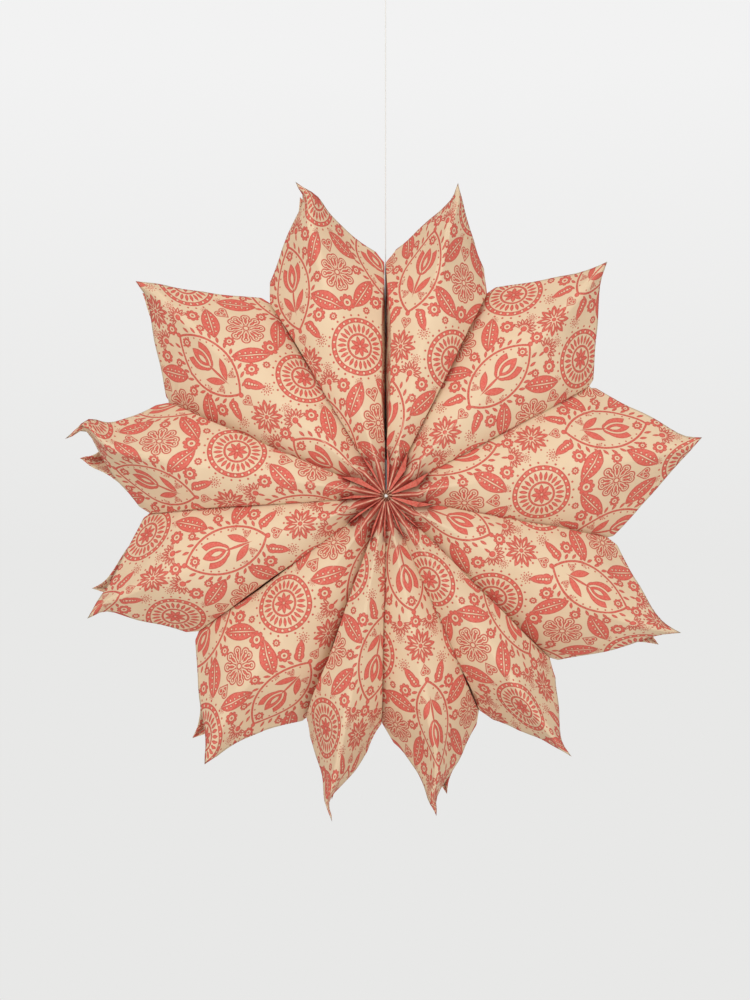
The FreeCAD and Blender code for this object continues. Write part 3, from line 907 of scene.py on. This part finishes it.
def print_group():
    """The whole print as a node group: print coordinates in, depth of the ink out."""
    group = bpy.data.node_groups.new("folk_flower_print", "ShaderNodeTree")
    group.interface.new_socket("Place", in_out="INPUT", socket_type="NodeSocketVector")
    group.interface.new_socket("Depth", in_out="OUTPUT", socket_type="NodeSocketFloat")
    given = group.nodes.new("NodeGroupInput")
    x = add(group, "ShaderNodeSeparateXYZ", (given.outputs["Place"],))
    across = add(group, MATH, (x, REPEAT_ACROSS), operation="PINGPONG")
    motifs = {}
    depths = []
    for draw, (right, up), turn, radius in LAYOUT:
        if draw not in motifs:
            motifs[draw] = motif_group(draw)
        beside = add(group, MATH, (across, right), operation="SUBTRACT")
        above = add(group, MATH, (x.node.outputs["Y"], up), operation="SUBTRACT")
        above = add(group, MATH, (above, REPEAT_ALONG / 2.0, -REPEAT_ALONG / 2.0), operation="WRAP")
        local = add(group, "ShaderNodeCombineXYZ", (beside, above))
        local = add(group, "ShaderNodeMapping", (local, (0.0, 0.0, 0.0), (0.0, 0.0, math.radians(turn))),
                    vector_type="TEXTURE")
        depths.append(add(group, "ShaderNodeGroup", {"Place": local, "Size": radius},
                          node_tree=motifs[draw]))
    add(group, "NodeGroupOutput", (join(group, *depths),))
    return group


def hub_leaves(tree):
    """The border printed along the bag's bottom: a row of long leaves that point out from the hub."""
    out = add(tree, "ShaderNodeAttribute", attribute_name="out_from_hub").node.outputs["Fac"]
    fold = add(tree, "ShaderNodeAttribute", attribute_name="from_fold").node.outputs["Fac"]
    aside = add(tree, MATH, (fold, LEAF_PITCH), operation="PINGPONG")
    place = add(tree, "ShaderNodeCombineXYZ", (out, aside))
    return pointed_oval(tree, place, (LEAF_MIDDLE, 0.0), LEAF_HALF_LENGTH, LEAF_HALF_WIDTH)


def printed_paper():
    """Bleached kraft paper, uncoated, printed with one red ink by flexography: the ink sits in the
    paper, so both are matt, solid areas are a little mottled, and folds are worn pale."""
    material = bpy.data.materials.new("kraft_paper_printed_red")
    material.use_nodes = True
    tree = material.node_tree
    tree.nodes.clear()
    print_place = add(tree, "ShaderNodeUVMap", uv_map="print")
    depth = add(tree, "ShaderNodeGroup", {"Place": print_place}, node_tree=FOLK_PRINT)
    depth = join(tree, depth, hub_leaves(tree))
    # The ink spreads a little into the fibres, so its edge wanders by a tenth of a millimetre
    ragged = add(tree, "ShaderNodeTexNoise", {"Vector": print_place, "Scale": 1.6, "Detail": 2.0})
    ragged = add(tree, MATH, (ragged, 0.3, -0.15), operation="MULTIPLY_ADD")
    edge = add(tree, MATH, (depth, ragged), operation="ADD")
    ink = add(tree, "ShaderNodeMapRange", (edge, -0.16, 0.16, 0.0, 1.0))
    mottle = add(tree, "ShaderNodeTexNoise", {"Vector": print_place, "Scale": 0.9, "Detail": 5.0,
                                              "Roughness": 0.7})
    thin = add(tree, "ShaderNodeMapRange", (mottle, 0.3, 0.62, 0.74, 1.0))
    ink = add(tree, MATH, (ink, thin), operation="MULTIPLY")
    # Folds are worn pale in places, most of all where they come together at the hub
    fold = add(tree, "ShaderNodeAttribute", attribute_name="from_fold").node.outputs["Fac"]
    worn = add(tree, "ShaderNodeMapRange", (fold, 0.15, 0.75, 0.8, 0.0))
    rubbed = add(tree, "ShaderNodeTexNoise", {"Vector": print_place, "Scale": 0.22, "Detail": 2.0})
    rubbed = add(tree, "ShaderNodeMapRange", (rubbed, 0.38, 0.62, 0.25, 1.0))
    worn = add(tree, MATH, (worn, rubbed), operation="MULTIPLY")
    out = add(tree, "ShaderNodeAttribute", attribute_name="out_from_hub").node.outputs["Fac"]
    near = add(tree, "ShaderNodeMapRange", (out, 25.0, 70.0, 1.0, 0.1))
    worn = add(tree, MATH, (worn, near), operation="MULTIPLY")
    kept = add(tree, MATH, (1.0, worn), operation="SUBTRACT")
    ink = add(tree, MATH, (ink, kept), operation="MULTIPLY")
    cloudy = add(tree, "ShaderNodeTexNoise", {"Vector": print_place, "Scale": 0.05, "Detail": 3.0})
    kraft = add(tree, "ShaderNodeMix", (cloudy, linear(KRAFT_SHADED), linear(KRAFT)), data_type="RGBA")
    tint = add(tree, "ShaderNodeMapRange", (edge, 0.25, 0.7, 0.0, 1.0))
    red = add(tree, "ShaderNodeMix", (tint, linear(INK_DEEP), linear(INK)), data_type="RGBA")
    # Painted shade: within 30 mm of the hub the red is mixed towards a darker red, for the shade deep
    # round the hub
    hub_shade = add(tree, "ShaderNodeMapRange", (out, 10.0, 30.0, 0.6, 0.0))
    red = add(tree, "ShaderNodeMix", (hub_shade, red, linear(INK_IN_HUB_SHADE)), data_type="RGBA")
    colour = add(tree, "ShaderNodeMix", (ink, kraft, red), data_type="RGBA")
    fibres = add(tree, "ShaderNodeTexNoise", {"Vector": print_place, "Scale": 2.2, "Detail": 4.0})
    bump = add(tree, "ShaderNodeBump", {"Strength": 0.12, "Distance": 0.0001, "Height": fibres})
    paper = add(tree, "ShaderNodeBsdfPrincipled", {"Base Color": colour, "Roughness": 0.8,
                                                   "Specular IOR Level": 0.25, "Normal": bump})
    through = add(tree, "ShaderNodeBsdfTranslucent", {"Color": colour})
    shader = add(tree, "ShaderNodeMixShader", (0.12, paper, through))
    add(tree, "ShaderNodeOutputMaterial", {"Surface": shader})
    return material


def plain_paper():
    """The bag's inner face: plain kraft, with the print showing through it as a faint blush."""
    material = bpy.data.materials.new("kraft_paper_inside")
    material.use_nodes = True
    tree = material.node_tree
    tree.nodes.clear()
    print_place = add(tree, "ShaderNodeUVMap", uv_map="print")
    depth = add(tree, "ShaderNodeGroup", {"Place": print_place}, node_tree=FOLK_PRINT)
    ghost = add(tree, "ShaderNodeMapRange", (depth, -0.5, 0.5, 0.0, 0.14))
    colour = add(tree, "ShaderNodeMix", (ghost, linear(INSIDE_KRAFT), linear(INK)), data_type="RGBA")
    fibres = add(tree, "ShaderNodeTexNoise", {"Vector": print_place, "Scale": 2.2, "Detail": 4.0})
    bump = add(tree, "ShaderNodeBump", {"Strength": 0.12, "Distance": 0.0001, "Height": fibres})
    paper = add(tree, "ShaderNodeBsdfPrincipled", {"Base Color": colour, "Roughness": 0.85,
                                                   "Specular IOR Level": 0.2, "Normal": bump})
    through = add(tree, "ShaderNodeBsdfTranslucent", {"Color": colour})
    shader = add(tree, "ShaderNodeMixShader", (0.12, paper, through))
    add(tree, "ShaderNodeOutputMaterial", {"Surface": shader})
    return material


def cotton_thread():
    """White cotton sewing thread: matt twisted yarn, whose plies show as fine slanting stripes."""
    material = bpy.data.materials.new("cotton_sewing_thread")
    material.use_nodes = True
    tree = material.node_tree
    tree.nodes.clear()
    place = add(tree, "ShaderNodeTexCoord").node.outputs["Object"]
    slanted = add(tree, "ShaderNodeMapping", (place, (0.0, 0.0, 0.0), (0.6, 0.5, 0.4)))
    plies = add(tree, "ShaderNodeTexWave", {"Vector": slanted, "Scale": 900.0, "Distortion": 1.0})
    plies = plies.node.outputs["Fac"]
    colour = add(tree, "ShaderNodeMix", (plies, linear(COTTON_SHADED), linear(COTTON)), data_type="RGBA")
    bump = add(tree, "ShaderNodeBump", {"Strength": 0.4, "Distance": 0.00005, "Height": plies})
    yarn = add(tree, "ShaderNodeBsdfPrincipled", {"Base Color": colour, "Roughness": 0.85,
                                                  "Specular IOR Level": 0.2, "Normal": bump})
    add(tree, "ShaderNodeOutputMaterial", {"Surface": yarn})
    return material


FOLK_PRINT = print_group()
PRINTED = printed_paper()
INSIDE = plain_paper()
COTTON_THREAD = cotton_thread()


def limp_paper_tree():
    """Geometry nodes that give a bag's paper its slight waves and crumples."""
    tree = bpy.data.node_groups.new("limp_paper", "GeometryNodeTree")
    tree.interface.new_socket("Geometry", in_out="INPUT", socket_type="NodeSocketGeometry")
    for name in ("Wave height", "Wave length", "Crumple height", "Crumple length", "Seed"):
        tree.interface.new_socket(name, in_out="INPUT", socket_type="NodeSocketFloat")
    tree.interface.new_socket("Paper", in_out="INPUT", socket_type="NodeSocketMaterial")
    tree.interface.new_socket("Geometry", in_out="OUTPUT", socket_type="NodeSocketGeometry")
    given = tree.nodes.new("NodeGroupInput").outputs
    place = add(tree, "GeometryNodeInputPosition")
    normal = add(tree, "GeometryNodeInputNormal")
    freedom = add(tree, "GeometryNodeInputNamedAttribute", ("freedom",), data_type="FLOAT")
    heights = []
    for kind, detail in (("Wave", 0.0), ("Crumple", 1.0)):
        scale = add(tree, MATH, (1.0, given[kind + " length"]), operation="DIVIDE")
        noise = add(tree, "ShaderNodeTexNoise", {"Vector": place, "W": given["Seed"], "Scale": scale,
                                                 "Detail": detail}, noise_dimensions="4D")
        level = add(tree, MATH, (noise, 0.5), operation="SUBTRACT")
        heights.append(add(tree, MATH, (level, given[kind + " height"]), operation="MULTIPLY"))
    height = add(tree, MATH, (heights[0], heights[1]), operation="ADD")
    height = add(tree, MATH, (height, freedom), operation="MULTIPLY")
    offset = add(tree, VECTOR_MATH, {"Vector": normal, "Scale": height}, operation="SCALE")
    moved = add(tree, "GeometryNodeSetPosition", {"Geometry": given["Geometry"], "Offset": offset})
    realized = add(tree, "GeometryNodeRealizeInstances", (moved,))
    covered = add(tree, "GeometryNodeSetMaterial", {"Geometry": realized, "Material": given["Paper"]})
    add(tree, "NodeGroupOutput", (covered,))
    return tree


LIMP_PAPER = limp_paper_tree()


def finished_paper(name, mesh, seed):
    """Paper with its waves and its thickness, as a plain mesh: printed outside, plain inside."""
    mesh.materials.append(PRINTED)
    mesh.materials.append(INSIDE)
    sheet = bpy.data.objects.new(name + "_sheet", mesh)
    bpy.context.scene.collection.objects.link(sheet)
    waves = sheet.modifiers.new("limp_paper", "NODES")
    waves.node_group = LIMP_PAPER
    values = {"Wave height": 5.0 * MM, "Wave length": 45.0 * MM, "Crumple height": 1.2 * MM,
              "Crumple length": 14.0 * MM, "Seed": float(seed), "Paper": PRINTED}
    for item in LIMP_PAPER.interface.items_tree:
        if item.name in values and item.in_out == "INPUT":
            waves[item.identifier] = values[item.name]
    thick = sheet.modifiers.new("thickness", "SOLIDIFY")
    thick.thickness = PAPER * MM
    thick.offset = -1.0
    thick.use_rim = True
    thick.material_offset = 1
    thick.material_offset_rim = 1
    shown = sheet.evaluated_get(bpy.context.evaluated_depsgraph_get())
    finished = bpy.data.meshes.new_from_object(shown)
    finished.name = name
    finished.materials.clear()
    finished.materials.append(PRINTED)
    finished.materials.append(INSIDE)
    bpy.data.objects.remove(sheet)
    piece = bpy.data.objects.new(name, finished)
    bpy.context.scene.collection.objects.link(piece)
    return piece


def seam_filler():
    """The glue that holds the first and the last bag together, deep in the seam behind the thread."""
    away = math.radians(SEAM_ANGLE)
    points = []
    for out in (SEAM_GLUE_START, SEAM_GLUE_END):
        for y in (SEAM_GLUE_FRONT, SEAM_GLUE_BACK):
            for side in (-SEAM_GLUE_HALF_WIDTH, SEAM_GLUE_HALF_WIDTH):
                points.append(((out * math.cos(away) + side * math.sin(away)) * MM, y * MM,
                               (out * math.sin(away) - side * math.cos(away)) * MM - HANG_DROP))
    faces = [(0, 1, 3, 2), (4, 6, 7, 5), (0, 4, 5, 1), (2, 3, 7, 6), (0, 2, 6, 4), (1, 5, 7, 3)]
    mesh = bpy.data.meshes.new("seam_glue")
    mesh.from_pydata(points, [], faces)
    mesh.materials.append(PRINTED)
    mesh.materials.append(INSIDE)
    for polygon in mesh.polygons:
        polygon.material_index = 1
    filler = bpy.data.objects.new("seam_glue", mesh)
    bpy.context.scene.collection.objects.link(filler)
    return filler


for number in range(1, 13):
    bag = OpenedBag(number)
    piece = finished_paper("paper_bag_%02d" % number, bag_mesh(bag), number)
    flap = finished_paper("bag_flap_%02d" % number, flap_mesh(bag), number)
    parts = [piece, flap, folded_bottom(bag)]
    if number == 12:
        parts.append(seam_filler())
    with bpy.context.temp_override(active_object=piece, selected_editable_objects=parts):
        bpy.ops.object.join()
    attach(piece, "root")
    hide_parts("bag_%02d" % number)

for piece, node in ((thread, "hanging_thread"), (loop, "thread_loop"), (knot_at_hub, "hub_knot"),
                    (knot_at_loop, "loop_knot")):
    piece.data.materials.append(COTTON_THREAD)
    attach(piece, "root")
    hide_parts(node)


def add_area_lamp(name, place, aim, width, power):
    """A square soft box that points at a place."""
    light = bpy.data.lights.new(name, "AREA")
    light.shape = "SQUARE"
    light.size = width
    light.energy = power
    lamp = bpy.data.objects.new(name, light)
    lamp.location = place
    direction = [to - start for to, start in zip(aim, place)]
    flat = math.hypot(direction[0], direction[1])
    lamp.rotation_euler = (math.atan2(flat, -direction[2]), 0.0, math.atan2(-direction[0], direction[1]))
    bpy.context.scene.collection.objects.link(lamp)


def add_studio():
    """A pale floor well below the star, a pale world and soft light from above and in front."""
    floor_mesh = bpy.data.meshes.new("floor")
    reach, level = 2.4, -1.25
    corners = [(reach * math.cos(step * math.pi / 24.0), reach * math.sin(step * math.pi / 24.0), level)
               for step in range(48)]
    floor_mesh.from_pydata(corners, [], [list(range(48))])
    floor = bpy.data.objects.new("floor", floor_mesh)
    bpy.context.scene.collection.objects.link(floor)
    paint = bpy.data.materials.new("floor_pale_matt")
    paint.use_nodes = True
    paint.node_tree.nodes.clear()
    matt = add(paint.node_tree, "ShaderNodeBsdfDiffuse", {"Color": linear(BACKGROUND_LOW)})
    add(paint.node_tree, "ShaderNodeOutputMaterial", {"Surface": matt})
    floor.data.materials.append(paint)

    world = bpy.data.worlds.new("pale_studio")
    bpy.context.scene.world = world
    world.use_nodes = True
    tree = world.node_tree
    tree.nodes.clear()
    # Painted shade: the backdrop that the camera sees is darker towards the bottom of the picture and
    # lighter above
    height = add(tree, "ShaderNodeTexCoord").node.outputs["Generated"]
    height = add(tree, "ShaderNodeSeparateXYZ", (height,)).node.outputs["Z"]
    share = add(tree, "ShaderNodeMapRange", (height, -0.02, 0.17, 0.0, 1.0))
    shown = add(tree, "ShaderNodeMix", (share, linear(BACKGROUND_LOW), linear(BACKGROUND_HIGH)),
                data_type="RGBA")
    seen = add(tree, "ShaderNodeLightPath")
    seen = add(tree, MATH, (seen.node.outputs["Is Camera Ray"], seen.node.outputs["Is Glossy Ray"]),
               operation="MAXIMUM")
    backdrop = add(tree, "ShaderNodeBackground", {"Color": shown, "Strength": 1.0})
    fill = add(tree, "ShaderNodeBackground", {"Color": linear("FFFDFA"), "Strength": 0.62})
    light = add(tree, "ShaderNodeMixShader", (seen, fill, backdrop))
    add(tree, "ShaderNodeOutputWorld", {"Surface": light})

    star = (0.0, 0.0, -HANG_DROP)
    add_area_lamp("key", (-0.5, -1.7, 0.5), star, 1.2, 20.0)
    add_area_lamp("fill", (0.7, -1.6, -0.5), star, 1.2, 8.0)


add_studio()
bpy.context.scene.view_settings.view_transform = "Standard"
